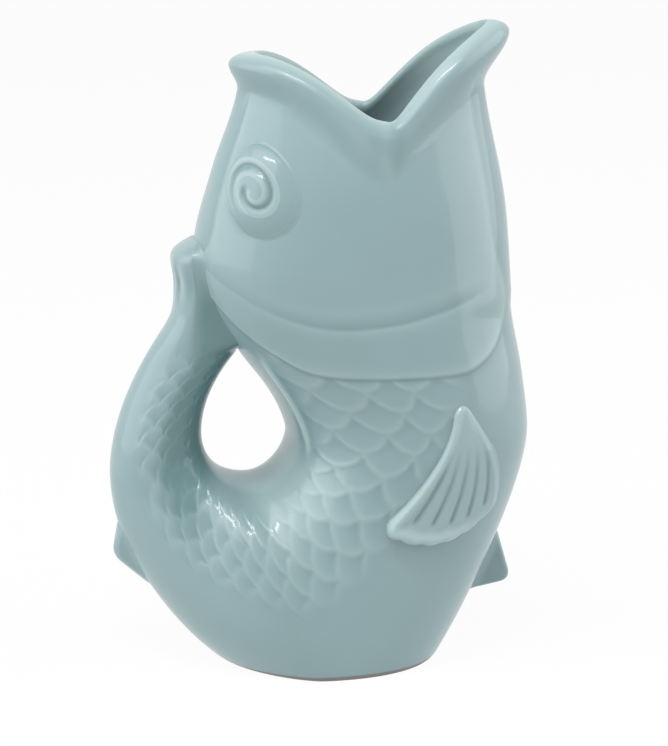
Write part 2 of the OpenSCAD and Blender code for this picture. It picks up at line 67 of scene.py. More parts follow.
camera_data = bpy.data.cameras.new("studio_camera")
camera_data.sensor_width = 36
camera_data.lens = lens_pixels * camera_data.sensor_width / PHOTO_SIZE[1]
camera_data.shift_x = (PHOTO_SIZE[0] / 2 - target_pixel[0]) / PHOTO_SIZE[1]
camera_data.shift_y = (target_pixel[1] - PHOTO_SIZE[1] / 2) / PHOTO_SIZE[1]
camera = bpy.data.objects.new("studio_camera", camera_data)
view_back = Vector((math.sin(view_turn) * math.cos(view_rise),
                    -math.cos(view_turn) * math.cos(view_rise),
                    math.sin(view_rise)))
camera.location = view_target + view_back * view_distance
camera.rotation_euler = (-view_back).to_track_quat("-Z", "Y").to_euler()
bpy.context.scene.collection.objects.link(camera)
bpy.context.scene.camera = camera
bpy.context.scene.view_settings.view_transform = "Standard"


def softbox(name, place, size, watts):
    """A rectangular studio lamp that faces the jug; place and size in metres."""
    data = bpy.data.lights.new(name, "AREA")
    data.shape = "RECTANGLE"
    data.size, data.size_y = size
    data.energy = watts
    lamp = bpy.data.objects.new(name, data)
    lamp.location = place
    lamp.rotation_euler = (view_target - Vector(place)).to_track_quat("-Z", "Y").to_euler()
    bpy.context.scene.collection.objects.link(lamp)


softbox("softbox_right", (1.9, -0.28, 1.0), (2.4, 2.2), 28)
softbox("softbox_left", (-1.85, -0.22, 0.9), (2.2, 2.0), 24)
softbox("softbox_top", (-0.5, -0.6, 1.7), (1.6, 1.2), 15)
softbox("spot_top", (-0.1, -0.45, 1.3), (0.45, 0.12), 3)


def seen_directly(nodes, links):
    """One for a ray from the camera, off a gloss or through glass, and nought for the light on a surface."""
    path = nodes.new("ShaderNodeLightPath")
    either = nodes.new("ShaderNodeMath")
    either.operation = "MAXIMUM"
    links.new(path.outputs["Is Camera Ray"], either.inputs[0])
    links.new(path.outputs["Is Glossy Ray"], either.inputs[1])
    any_of = nodes.new("ShaderNodeMath")
    any_of.operation = "MAXIMUM"
    links.new(either.outputs[0], any_of.inputs[0])
    links.new(path.outputs["Is Transmission Ray"], any_of.inputs[1])
    return any_of.outputs[0]


ambient_level = 0.22
world = bpy.data.worlds.new("white_studio")
bpy.context.scene.world = world
world.use_nodes = True
world_nodes, world_links = world.node_tree.nodes, world.node_tree.links
backdrop = world_nodes["Background"]
backdrop.inputs["Color"].default_value = (1, 1, 1, 1)
backdrop_level = world_nodes.new("ShaderNodeMix")
backdrop_level.inputs["A"].default_value = ambient_level
backdrop_level.inputs["B"].default_value = 1
world_links.new(seen_directly(world_nodes, world_links), backdrop_level.inputs["Factor"])
world_links.new(backdrop_level.outputs["Result"], backdrop.inputs["Strength"])

table_reach = 6
table_paper = bpy.data.materials.new("table_paper")
table_paper.use_nodes = True
table_nodes, table_links = table_paper.node_tree.nodes, table_paper.node_tree.links
table_nodes.remove(table_nodes["Principled BSDF"])
paper = table_nodes.new("ShaderNodeBsdfDiffuse")
paper.inputs["Color"].default_value = (0.9, 0.9, 0.9, 1)
paper_white = table_nodes.new("ShaderNodeEmission")
paper_white.inputs["Strength"].default_value = 1
paper_share = table_nodes.new("ShaderNodeMath")
paper_share.operation = "MULTIPLY"
paper_share.inputs[1].default_value = 0.95
table_links.new(seen_directly(table_nodes, table_links), paper_share.inputs[0])
paper_mix = table_nodes.new("ShaderNodeMixShader")
table_links.new(paper_share.outputs[0], paper_mix.inputs["Fac"])
table_links.new(paper.outputs[0], paper_mix.inputs[1])
table_links.new(paper_white.outputs[0], paper_mix.inputs[2])
table_links.new(paper_mix.outputs[0], table_nodes["Material Output"].inputs["Surface"])
table_mesh = bpy.data.meshes.new("table")
table_grid = bmesh.new()
bmesh.ops.create_grid(table_grid, x_segments=1, y_segments=1, size=table_reach)
table_grid.to_mesh(table_mesh)
table_grid.free()
table_mesh.materials.append(table_paper)
table = bpy.data.objects.new("table", table_mesh)
bpy.context.scene.collection.objects.link(table)

# Cast skin
# The jug is slip-cast earthenware. Its belly, tail and head share one flowing skin of rings that run
# from the tip of the tail round under the finger hole and up to the lip, so the forms of all three are
# worked out together here, in millimetres, and cut apart at the luted seams in the sections below.
COLUMNS = 360
wall = 5.0
floor_t = 6.0
joint_gap = 0.2
foot_x = 2.0
recess_r = 34.0
recess_d = 1.5
belly_front = cad_box[1].x / MM
loop_back = -cad_box[0].x / MM
loop_z = 76.0
belly_w = 97.0
front_depth = 135.0
back_depth = 90.5
hole_x = -31.0
hole_z = 92.0
hole_w = 35.0
hole_bottom = 72.8
hole_top = 126.0
hole_top_x = -33.5
nape_z = 166.0
nape_back = 50.5
cheek_w = 92.0
cheek_z = 150.0
throat_front = 77.0
neck_z = 230.0
neck_back = 32.5
neck_front = 66.0
neck_w = 56.0
spout_z = 255.0


def mix(a, b, t):
    """The value a share t of the way from a to b."""
    return a + (b - a) * t


def ramp(t):
    """A smooth rise from 0 to 1 while t goes from 0 to 1."""
    s = np.clip(t, 0, 1)
    return s * s * (3 - 2 * s)


def hump(t):
    """A soft bump of height 1 about t = 0."""
    return np.exp(-t * t)


def spow(v, p):
    """A power that keeps the sign of its base."""
    return np.sign(v) * np.abs(v) ** p


def profile(rows, place):
    """A smooth curve through the rows (place, value) of a profile."""
    at, value = np.array(rows, float).T
    slope = np.empty_like(value)
    slope[1:-1] = (value[2:] - value[:-2]) / (at[2:] - at[:-2])
    slope[0] = (value[1] - value[0]) / (at[1] - at[0])
    slope[-1] = (value[-1] - value[-2]) / (at[-1] - at[-2])
    x = np.clip(place, at[0], at[-1])
    i = np.clip(np.searchsorted(at, x, side="right") - 1, 0, len(at) - 2)
    h = at[i + 1] - at[i]
    t = (x - at[i]) / h
    return (value[i] * (1 + 2 * t) * (1 - t) ** 2 + slope[i] * h * t * (1 - t) ** 2
            + value[i + 1] * t * t * (3 - 2 * t) + slope[i + 1] * h * t * t * (t - 1))


hole_front = hole_x + hole_w / 2
hole_back = hole_x - hole_w / 2
below_hole = 2 * hole_bottom - hole_z
back_rows = [(below_hole, hole_front), (hole_z, hole_front),
             (mix(hole_z, hole_top, 0.45), mix(hole_front, hole_top_x, 0.32)),
             (hole_top, hole_top_x),
             (mix(hole_top, nape_z, 0.5), mix(hole_top_x, -nape_back, 0.68)),
             (nape_z, -nape_back),
             (mix(nape_z, neck_z, 0.5), mix(-nape_back, -neck_back, 0.42)),
             (neck_z, -neck_back), (spout_z, -neck_back)]
front_rows = [(below_hole, belly_front), (hole_z, belly_front),
              (mix(hole_z, cheek_z, 0.45), mix(belly_front, throat_front, 0.42)),
              (mix(hole_z, cheek_z, 0.84), throat_front),
              (cheek_z, throat_front),
              (mix(cheek_z, neck_z, 0.45), mix(throat_front, neck_front, 0.25)),
              (neck_z, neck_front), (spout_z, neck_front)]
width_rows = [(below_hole, belly_w / 2), (hole_z, belly_w / 2), (cheek_z, cheek_w / 2),
              (mix(cheek_z, neck_z, 0.5), mix(cheek_w, neck_w, 0.34) / 2),
              (neck_z, neck_w / 2), (spout_z, neck_w / 2)]
round_rows = [(hole_z, 2.5), (cheek_z, 2.3), (neck_z, 1.95), (spout_z, 1.6)]
back_round_rows = [(hole_z, 2.1), (hole_top, 2.15), (cheek_z, 2.3), (neck_z, 1.95), (spout_z, 1.9)]


def level_point(z, turn, out):
    """A point of a level section, where turn 0 is the front and pi the back, and out grows the section."""
    back, front = profile(back_rows, z), profile(front_rows, z)
    power = 2 / np.where(np.cos(turn) < 0, profile(back_round_rows, z), profile(round_rows, z))
    x = (back + front) / 2 + ((front - back) / 2 + out) * spow(np.cos(turn), power)
    y = (profile(width_rows, z) + out) * spow(np.sin(turn), power)
    return np.stack(np.broadcast_arrays(x, y, z), -1)


def back_at(z, y):
    """Where the back of the jug lies at a height and a distance from the middle."""
    back, front, n = profile(back_rows, z), profile(front_rows, z), profile(back_round_rows, z)
    share = np.abs(y) / profile(width_rows, z)
    return (back + front) / 2 - (front - back) / 2 * (1 - share ** n) ** (1 / n)


back_power = 1.06
front_power = 1.35
front_from, front_span = 238, 64
front_tuck, front_tuck_from, front_tuck_span = 2.6, 296, 64
back_tuck, back_tuck_from, back_tuck_span = 1.4, 190, 55
hole_round = 2.1
tail_w = 36.0
widen_from, widen_span = 180, 90
tail_round = 2.1
full_round, fill_from, fill_span = 2.65, 190, 60
belly_ease, ease_from, ease_span = 0.15, 300, 60


def hole_point(t):
    """The lower edge of the finger hole."""
    return np.stack([hole_x + hole_w / 2 * np.cos(t), hole_z + (hole_z - hole_bottom) * np.sin(t)], -1)


def tucked(t, deep, start, span):
    """How far the bowl's line is drawn in over a span of degrees."""
    return deep * np.sin(math.pi * np.clip((np.degrees(t) - start) / span, 0, 1)) ** 2


def bowl_point(t):
    """The bowl's middle line under the hole, from the tail at half a turn to the belly at a whole one."""
    f = ramp((np.degrees(t) - front_from) / front_span)
    power = mix(back_power, front_power, f)
    tuck = tucked(t, front_tuck, front_tuck_from, front_tuck_span)
    tuck = tuck - tucked(t, back_tuck, back_tuck_from, back_tuck_span)
    depth = mix(back_depth, front_depth, f)
    return np.stack([mix(loop_back, belly_front, f) * spow(np.cos(t), power) - tuck,
                     mix(loop_z, hole_z, f) - depth * np.abs(np.sin(t)) ** power], -1)


def bowl_half_w(t):
    return mix(tail_w, belly_w, ramp((np.degrees(t) - widen_from) / widen_span)) / 2


def bowl_round(t):
    """How square the bowl's sections are, where 2 is an ellipse."""
    filled = mix(tail_round, full_round, ramp((np.degrees(t) - fill_from) / fill_span))
    return filled - belly_ease * ramp((np.degrees(t) - ease_from) / ease_span)


def section_point(a, b, half_w, power, turn, out):
    """A point of a section that stands across the line from a, on the hole's side, to b, on the outside."""
    far = np.linalg.norm(b - a, axis=-1)
    way = (b - a) / far[..., None]
    q = (a + b) / 2 + way * ((far / 2 + out) * spow(np.cos(turn), power))[..., None]
    y = (half_w + out) * spow(np.sin(turn), power)
    return np.stack(np.broadcast_arrays(q[..., 0], y, q[..., 1]), -1)


def fan_point(t, turn, out):
    power = 2 / np.where(np.cos(turn) < 0, np.minimum(bowl_round(t), hole_round), bowl_round(t))
    return section_point(hole_point(t), bowl_point(t), bowl_half_w(t), power, turn, out)


tail_tip_w = 25.0
tail_bow = 1.85
tail_fin_z = 141.0
tail_fin_t = 16.0


def tail_point(s, turn, out):
    """A point of the tail above the loop, where s runs from 0 at the height of the hole to 1 at the fin."""
    za, zb = mix(hole_z, tail_fin_z, s), mix(loop_z, tail_fin_z, s)
    up_hole = np.clip((za - hole_z) / (hole_top - hole_z), 0, 1)
    front_low = mix(hole_back, hole_top_x - joint_gap, up_hole ** 2)
    front = np.where(za > hole_top, profile(back_rows, za) - joint_gap, front_low)
    tip_back = profile(back_rows, tail_fin_z) - tail_fin_t
    back = mix(-loop_back, tip_back, np.clip((zb - loop_z) / (tail_fin_z - loop_z), 0, 1) ** tail_bow)
    half_w = mix(tail_w, tail_tip_w, s) / 2
    return section_point(np.stack([front, za], -1), np.stack([back, zb], -1), half_w,
                         2 / bowl_round(math.pi), turn, out)


tail_top_z = 171.0
tail_fin_mid_t = 10.0
tail_fin_top_t = 5.0
tail_fin_w = 31.0
tail_tip_round = 7.0
tail_tip_narrow = 0.55
tail_fin_blend = 10.0
fin_t_rows = [(tail_fin_z, tail_fin_t), (mix(tail_fin_z, tail_top_z, 0.45), tail_fin_mid_t),
              (mix(tail_fin_z, tail_top_z, 0.85), mix(tail_fin_mid_t, tail_fin_top_t, 0.3)),
              (tail_top_z, tail_fin_top_t)]
fin_w_rows = [(tail_fin_z, tail_tip_w / 2), (mix(tail_fin_z, tail_top_z, 0.75), tail_fin_w / 2),
              (tail_top_z, mix(tail_tip_w, tail_fin_w, 0.4) / 2)]


def tail_fin_point(z, turn):
    """A point of the tail fin, which lies against the back of the head and ends in a round edge."""
    power = 2 / bowl_round(math.pi)
    tip = np.sqrt(1 - np.clip((z - tail_top_z + tail_tip_round) / tail_tip_round, 0, 1) ** 2)
    y = profile(fin_w_rows, z) * mix(tail_tip_narrow, 1, tip) * spow(np.sin(turn), power)
    thick = profile(fin_t_rows, z)
    front = mix(profile(back_rows, z), back_at(z, y), ramp((z - tail_fin_z) / tail_fin_blend)) - joint_gap
    x = front - thick / 2 * tip * (1 + spow(np.cos(turn), power))
    return np.stack(np.broadcast_arrays(x, y, z), -1)


gill_low_z = 122.0
gill_rows = [(0, 131), (25, 130), (45, 126.4), (60, 123.4), (75, gill_low_z), (105, gill_low_z), (118, 122.6),
             (128, 124.4), (136, 128.5), (143, 133), (150, 138), (158, 144.5), (167, 151.5), (180, 160)]
smile_rows = [(0, 160), (40, 155), (59, 149.8), (73, 146.2), (88, 143.0), (100, 142.0), (114, 143.8),
              (132, 149.8), (146, 156), (160, 161.5), (180, 167)]
back_lip_z = 243.8
notch_z = 220.0
notch_x = 22.6
notch_round = 7.0
spout_bow = 0.3
back_rise = 1.2
rim_lift = 1.5
lip_change = 1.4
spout_flare = 10.0
notch_flare = 4.0
back_flare = 4.0
spout_curl = 21.0
notch_curl = 18.0
back_curl = 10.0
spout_lip_t = 9.5
notch_lip_t = 7.5
back_lip_t = 12.0
lip_curl = 14.0
lip_round = 4.5
lip_inner_round = 5.0
spout_ridge = 0.9
notch_ridge = 0.5
back_ridge = 0.85
notch_u = (2 * notch_x - neck_front + neck_back) / (neck_front + neck_back)


def gill_z(turn):
    return profile(gill_rows, np.degrees(np.arccos(np.cos(turn))))


def smile_z(turn):
    return profile(smile_rows, np.degrees(np.arccos(np.cos(turn))))


def lip_share(turn):
    """How far round the lip a turn lies, from 0 at a notch to 1 at the spout or at the back."""
    u = np.cos(turn)
    return np.where(u > notch_u, (u - notch_u) / (1 - notch_u), (notch_u - u) / (notch_u + 1))


def rim_z(turn):
    """Height of the lip, which rises from a notch on each side to the spout and to the back."""
    to_spout = np.cos(turn) > notch_u
    share = lip_share(turn)
    rise = np.where(to_spout, share * (1 + spout_bow * (1 - share)), np.sin(math.pi / 2 * share) ** back_rise)
    rise = rise * (np.where(to_spout, spout_z, back_lip_z) - notch_z + rim_lift)
    slant = np.sqrt(rise ** 2 + notch_round ** 2)
    return notch_z + slant - notch_round ** 2 / slant


def by_lip(turn, at_notch, at_spout, at_back):
    """A size of the lip that changes from the notches to the spout and to the back of the mouth."""
    return mix(at_notch, np.where(np.cos(turn) > notch_u, at_spout, at_back), lip_share(turn) ** lip_change)


def head_point(z, turn, out):
    """A point of the head, which flares to the lip and whose wall thickens inwards there."""
    over_curl = rim_z(turn) - z - lip_round
    flare = by_lip(turn, notch_flare, spout_flare, back_flare)
    flare = flare * ramp(1 - over_curl / by_lip(turn, notch_curl, spout_curl, back_curl))
    lip_t = by_lip(turn, notch_lip_t, spout_lip_t, back_lip_t)
    thicker = mix(1, lip_t / wall, ramp(1 - over_curl / lip_curl))
    return level_point(z, turn, out * thicker + flare)


# The rings of the skin, outside from the tail's tip to the lip and inside back down again, with their points
# closer together on the flanks, where the scales and the gill plates lie
dense_from, dense_to = math.radians(58), math.radians(158)
dense_soft = 0.3
sparse = 0.65
fine_way = np.linspace(0, math.pi, 2000)
on_flank = ramp((fine_way - dense_from) / dense_soft + 0.5) * ramp((dense_to - fine_way) / dense_soft + 0.5)
dense = sparse + on_flank
points_so_far = (np.cumsum(dense) - dense[0]) / (dense.sum() - dense[0])
half_way = np.interp(np.arange(COLUMNS // 2) / (COLUMNS // 2), points_so_far, fine_way)
way_round = np.concatenate([half_way, math.pi + half_way[:1], 2 * math.pi - half_way[:0:-1]])
SIDE, FLANK = [int(np.argmin(np.abs(way_round - math.radians(degrees)))) for degrees in (90, 120)]
even_power = 1.25
turn = np.arctan2(spow(np.sin(way_round), even_power), spow(np.cos(way_round), even_power)) % (2 * math.pi)
tail_joint = math.radians(202)
FIN_ROWS, TAIL_ROWS, ROOT_ROWS, BOWL_ROWS, BELLY_ROWS, HEAD_ROWS, LIP_ROWS = 60, 90, 14, 178, 52, 170, 24


def up_to(rows):
    """Even shares of a stretch with its far end left to the next stretch."""
    return (np.arange(rows) / rows)[:, None]


def skin_rows(tail, root, bowl, belly, head, out):
    """The rings of each stretch of the skin at a distance from the cast outside."""
    under_lip = rim_z(turn) - (lip_inner_round if out < 0 else lip_round)
    return [tail_point(1 - tail, turn, out),
            fan_point(mix(math.pi, tail_joint, root), turn, out),
            fan_point(mix(tail_joint, 2 * math.pi, bowl), turn, out),
            level_point(mix(hole_z, gill_z(turn), belly), turn, out),
            head_point(mix(gill_z(turn), under_lip, head), turn, out)]


outer_stretches = skin_rows(up_to(TAIL_ROWS), up_to(ROOT_ROWS), up_to(BOWL_ROWS), up_to(BELLY_ROWS),
                            up_to(HEAD_ROWS), 0)
lip_turn = np.linspace(0, math.pi, LIP_ROWS)[:, None]
lip_ridge = by_lip(turn, notch_ridge, spout_ridge, back_ridge)
lip_drop = np.where(lip_turn < math.pi / 2, lip_round, lip_inner_round) * (1 - np.sin(lip_turn))
lip_in = lip_ridge - np.where(lip_turn < math.pi / 2, lip_ridge, 1 - lip_ridge) * np.cos(lip_turn)
lip_rings = head_point(rim_z(turn) - lip_drop, turn, -wall * lip_in)
fin_rings = tail_fin_point(mix(tail_top_z, tail_fin_z, up_to(FIN_ROWS) ** 1.5), turn)
fold = np.minimum(way_round, 2 * math.pi - way_round)
fillet = 3.0
fillet_share, back_share = 0.7, 0.3
sunk = 1.0


def luted(rings):
    """Rings of the tail, spread by a fillet of slip where they lie against the back of the jug."""
    to_front = np.clip(fold / (math.pi / 2) - 1, 0, 1)
    round_in = np.clip(to_front / fillet_share, 0, 1) * math.pi / 2
    along_back = np.clip((to_front - fillet_share) / back_share, 0, 1)
    side = rings[:, SIDE]
    y = np.abs(side[:, 1:2]) + fillet * (1 - np.cos(round_in)) * np.ones(len(rings))[:, None]
    y = y * (1 - along_back) * np.sign(np.sin(way_round))
    x = mix(side[:, :1], back_at(rings[..., 2], y) + sunk, np.sin(round_in))
    share = ramp((rings[..., 2] - hole_top + 1) / 8) * (to_front > 0)
    spread = np.stack([x, y, rings[..., 2]], -1)
    return mix(rings, spread, share[..., None])


def eased(rings, row, reach):
    """Rings with the bend at a row smoothed out over a reach of rows on each side of it."""
    share = hump((np.arange(1, len(rings) - 1) - row) / reach)[:, None, None] / 2
    for _ in range(60):
        between = (rings[:-2] + rings[2:]) / 2
        rings[1:-1] = mix(rings[1:-1], between, share)
    return rings


tail_rings = luted(eased(np.concatenate([fin_rings, outer_stretches[0]]), FIN_ROWS, 16))
outer = np.concatenate([tail_rings] + outer_stretches[1:] + [lip_rings])
JOINT_ROW = FIN_ROWS + TAIL_ROWS + ROOT_ROWS
HOLE_ROW = JOINT_ROW + BOWL_ROWS
GILL_ROW = HOLE_ROW + BELLY_ROWS
RIM_ROW = GILL_ROW + HEAD_ROWS
outer = eased(outer, HOLE_ROW, 14)


def facing_of(points):
    """Unit normals of a skin of closed rings, pointing out of it."""
    round_way = np.roll(points, -1, 1) - np.roll(points, 1, 1)
    along = np.gradient(points, axis=0)
    normal = np.cross(round_way, along)
    normal /= np.maximum(np.linalg.norm(normal, axis=-1, keepdims=True), 1e-9)
    ring = points[len(points) // 2]
    outward = ((ring - ring.mean(0)) * normal[len(points) // 2]).sum() > 0
    return normal if outward else -normal


def soften(field, times):
    """A field over the skin, blurred a little along and across the rings."""
    for _ in range(times):
        field = (np.roll(field, 1, 1) + 2 * field + np.roll(field, -1, 1)) / 4
        padded = np.concatenate([field[:1], field, field[-1:]])
        field = (padded[:-2] + 2 * padded[1:-1] + padded[2:]) / 4
    return field


# Scales in staggered rows, each with a round free edge that lies over the next one towards the tail. Their
# rows are counted along the flank from the height of the hole, and grow shorter from the belly to the tail.
scale_top_z = 99.5
scale_top_turn = math.radians(144.5)
row_number = np.arange(len(outer))
flank = outer[:, FLANK]
flank_step = np.linalg.norm(np.diff(flank, axis=0), axis=-1)
scale_pitch = profile([(FIN_ROWS, 4.6), (JOINT_ROW, 5.0), (mix(JOINT_ROW, HOLE_ROW, 0.55), 5.2),
                       (mix(JOINT_ROW, HOLE_ROW, 0.8), 7.4), (HOLE_ROW, 8.5)], row_number)
along_flank = np.concatenate([[0], np.cumsum(flank_step / scale_pitch[1:])])
row_place = np.repeat((along_flank[HOLE_ROW] - along_flank)[:, None], COLUMNS, 1)
row_place[HOLE_ROW:RIM_ROW] = (hole_z - outer[HOLE_ROW:RIM_ROW, :, 2]) / scale_pitch[HOLE_ROW]
row_place += (scale_top_z - hole_z) / scale_pitch[HOLE_ROW]
scale_turn = np.radians(profile([(FIN_ROWS, 42), (JOINT_ROW, 30), (mix(JOINT_ROW, HOLE_ROW, 0.3), 20),
                                 (mix(JOINT_ROW, HOLE_ROW, 0.5), 17.5), (HOLE_ROW, 23)], row_number))
scale_rise = profile([(FIN_ROWS, 0.085), (mix(JOINT_ROW, HOLE_ROW, 0.55), 0.08), (HOLE_ROW, 0.05)],
                     row_number)
column_place = (scale_top_turn - fold[None]) / scale_turn[:, None]
scale_reach = profile([(FIN_ROWS, 1.05), (mix(JOINT_ROW, HOLE_ROW, 0.6), 1.05), (HOLE_ROW, 0.85)],
                      row_number)[:, None]
scale_arc = 0.7
scale_body, scale_body_long = 0.65, 1.6
scale_rim, scale_rim_wide = 0.35, 0.16


def scale_relief(column, row):
    """Height from 0 to 1 of overlapping scales at a place counted in columns and rows of scales."""
    height = np.zeros_like(row)
    for ahead in (1, 0, -1):
        k = np.floor(row) + ahead
        off = column - 0.5 * (k % 2)
        off = 2 * (off - np.round(off))
        from_edge = k + scale_reach * (1 - off ** 2) ** scale_arc - row
        body = scale_body * np.clip(1 - from_edge / scale_body_long, 0, 1)
        here = body + scale_rim * hump(from_edge / scale_rim_wide)
        height = np.where(from_edge >= 0, here, height)
    return height


field_start = np.radians(profile([(FIN_ROWS, 55), (FIN_ROWS + 60, 46), (JOINT_ROW + 8, 66),
                                  (JOINT_ROW + 40, 84), (JOINT_ROW + 88, 97), (JOINT_ROW + 130, 92),
                                  (HOLE_ROW + 25, 66), (GILL_ROW, 58)], row_number))
field_end = np.radians(profile([(FIN_ROWS, 128), (JOINT_ROW, 136), (JOINT_ROW + 50, 141),
                                (JOINT_ROW + 120, 142), (HOLE_ROW, 146), (GILL_ROW, 142)], row_number))
field_start_soft, field_end_soft = math.radians(16), math.radians(12)
TIP_ROWS, TIP_SOFT_ROWS = 8, 30
in_field = ramp((fold[None] - field_start[:, None]) / field_start_soft)
in_field *= ramp((field_end[:, None] - fold[None]) / field_end_soft + 0.5)
in_field *= ramp((row_number - FIN_ROWS - TIP_ROWS) / TIP_SOFT_ROWS)[:, None]
in_field[GILL_ROW:] = 0
scales = scale_relief(column_place, row_place) * (scale_rise * scale_pitch)[:, None] * in_field
seam_rise = 0.5
seam_off, seam_half = math.radians(3), math.radians(1.6)
seam_line = seam_rise * hump((fold - field_end[:, None] - seam_off) / seam_half)
seam_line *= (ramp((row_number - HOLE_ROW + 22) / 25) * ramp((GILL_ROW - 4 - row_number) / 16))[:, None]
scales += seam_line

# Gill plates, raised on the cheeks between the smooth bands at throat and nape, with the smile line cut
# across them, a crease under their lower edge, and a pleat and a fold of the lip below each corner of the
# mouth
gill_step = 0.5
plate_t = 0.3
plate_corner_r = 9.0
plate_edge = 2.6
lip_clear, lip_clear_soft = 10, 12
smile_d = 0.32
smile_under, smile_edge, smile_slope = 1.0, 1.8, 7.5
smile_start, smile_start_soft = math.radians(9), math.radians(20)
smile_faint, smile_faint_from, smile_faint_soft = 0.45, math.radians(138), math.radians(36)
crease_d, crease_below, crease_half = 0.15, 1.0, 0.9
pleat_d, pleat_off, pleat_half = 0.3, 1.5, 2.6
lip_fold, fold_reach, fold_taper, fold_soft = 0.75, 25, 0.8, 12
plate_front = np.radians(profile([(gill_low_z, 54), (132, 42), (148, 31), (175, 38), (spout_z, 36)],
                                 outer[..., 2]))
plate_back = np.radians(profile([(gill_low_z, 172), (158, 172), (172, 156), (190, 156), (spout_z, 154)],
                                outer[..., 2]))
over_gill = outer[:, :, 2] - gill_z(turn)
in_side = np.minimum(fold - plate_front, plate_back - fold) * cheek_w / 2
past_corner = np.hypot(np.clip(plate_corner_r - in_side, 0, None),
                       np.clip(plate_corner_r - over_gill, 0, None))
in_plate = np.where(past_corner > 0, plate_corner_r - past_corner, np.minimum(in_side, over_gill))
plate = ramp(in_plate / plate_edge + 0.3)
over_smile = outer[:, :, 2] - smile_z(turn)


def plate_height(over):
    """How far a gill plate stands out at a height over the gill line."""
    return mix(gill_step, plate_t, ramp((over - 2) / 16)) * ramp((over + 0.2) / 1.6)


below_rim = rim_z(turn) - outer[..., 2]
plate = plate * ramp((below_rim - lip_clear) / lip_clear_soft)
smile_share = ramp((fold - plate_front - smile_start) / smile_start_soft)
smile_share = smile_share * mix(smile_faint, 1, ramp((smile_faint_from - fold) / smile_faint_soft))
smile_cut = smile_d * plate * smile_share * ramp((over_smile + smile_under) / smile_edge)
smile_cut = smile_cut * (1 - ramp(over_smile / smile_slope))
gill_crease = crease_d * plate * hump((over_gill + crease_below) / crease_half)
notch_turn = math.acos(notch_u)
from_notch = (np.minimum(turn, 2 * math.pi - turn) - notch_turn) * neck_w / 2
pleat = pleat_d * hump((from_notch - pleat_off) / pleat_half)
pleat = pleat * ramp((26 - below_rim) / 16) * ramp((below_rim - 3) / 5)
fold_end = fold_reach - fold_taper * np.clip(from_notch, 0, None)
fold_over = lip_fold * ramp(from_notch / 4 + 0.5) * hump(np.clip(from_notch, 0, None) / fold_soft)
fold_over = fold_over * ramp((fold_end - below_rim) / fold_soft)
head_relief = plate * plate_height(over_gill) - smile_cut - gill_crease - pleat + fold_over
head_relief[:HOLE_ROW] = 0
head_relief[RIM_ROW:] = head_relief[RIM_ROW - 1]
tail_ridge = 0.8
ridge_share = (outer[:, :, 1] / profile(fin_w_rows, outer[:, :, 2]) + 1) * 2 * math.pi
tail_ridges = -tail_ridge * np.cos(ridge_share) ** 2 * ramp(np.cos(turn) * 2 + 0.5)
tail_ridges *= (ramp((FIN_ROWS - 2 - row_number) / 20) * ramp((row_number - 16) / 24))[:, None]
tail_ridges[FIN_ROWS:] = 0

relief = soften(scales, 2) + head_relief + tail_ridges
base_facing = facing_of(outer)
outer = outer + base_facing * relief[..., None]

# How deep the glaze lies, with painted light and shade mixed in, from -1 for the pale tone to 1 for the dark:
# glaze pooled deep in the creases, painted shade on the tail's side of the hole, glaze run thin on the lip
# with a painted highlight along it, painted light under the hole and a painted highlight along the seam
pool_full = 0.4
rim_thin_and_highlight, rim_thin_and_highlight_half = 0.9, 0.8
hole_painted_shade, hole_shade_from, hole_shade_soft = 1.2, math.radians(72), math.radians(42)
under_hole_painted_light, under_light_from, under_light_soft = 0.45, math.radians(112), math.radians(30)
seam_painted_highlight = 1.5
glaze_depth_and_painted_light = np.clip((soften(relief, 40) - relief) / pool_full, -1, 1)
# Paler along the lip's ridge: glaze run thin there, and a painted highlight along it.
glaze_depth_and_painted_light[RIM_ROW:] -= rim_thin_and_highlight * hump((lip_turn - math.pi / 2) / rim_thin_and_highlight_half)
# Painted shade: darker on the tail's side of the hole, where the belly shades it.
shade_rows_by_hole = ramp((row_number - FIN_ROWS + 45) / 50) * ramp((JOINT_ROW + 35 - row_number) / 45)
glaze_depth_and_painted_light += hole_painted_shade * shade_rows_by_hole[:, None] * ramp((fold - hole_shade_from) / hole_shade_soft)
# Painted light: paler on the bowl under the hole, where light from above falls.
lit_rows_under_hole = ramp((row_number - JOINT_ROW - 50) / 40) * ramp((HOLE_ROW - row_number) / 40)
glaze_depth_and_painted_light -= under_hole_painted_light * lit_rows_under_hole[:, None] * ramp((fold - under_light_from) / under_light_soft)
# Painted highlight: paler along the raised seam line beside the hole.
glaze_depth_and_painted_light = np.clip(glaze_depth_and_painted_light - seam_painted_highlight * seam_line, -1, 1)


def stand_on(points, level, soft):
    """Points lowered no further than a level, with a soft edge where they reach it."""
    up = points[..., 2] - level
    points[..., 2] = level + np.where(up < -soft, 0, np.where(up > soft, up, (up + soft) ** 2 / (4 * soft)))
    return points


foot_soft, floor_soft = 2.2, 2
under = outer[..., 2] < -1
outer = stand_on(outer, 0, foot_soft)
from_foot = np.hypot(outer[..., 0] - foot_x, outer[..., 1])
outer[..., 2] += np.where(under, recess_d * ramp((recess_r - from_foot) / 2), 0)
outer_facing = facing_of(outer)

INNER_TAIL, INNER_ROOT, INNER_BOWL, INNER_BELLY, INNER_HEAD = 16, 4, 30, 8, 46
INNER_TIP = 3
INNER_JOINT = INNER_TAIL + INNER_ROOT
INNER_GILL = INNER_JOINT + INNER_BOWL + INNER_BELLY
inner_stretches = skin_rows(up_to(INNER_TAIL), up_to(INNER_ROOT), up_to(INNER_BOWL), up_to(INNER_BELLY),
                            np.linspace(0, 1, INNER_HEAD)[:, None], -wall)
inner = stand_on(np.concatenate(inner_stretches), floor_t, floor_soft)
inner_facing = -facing_of(inner)


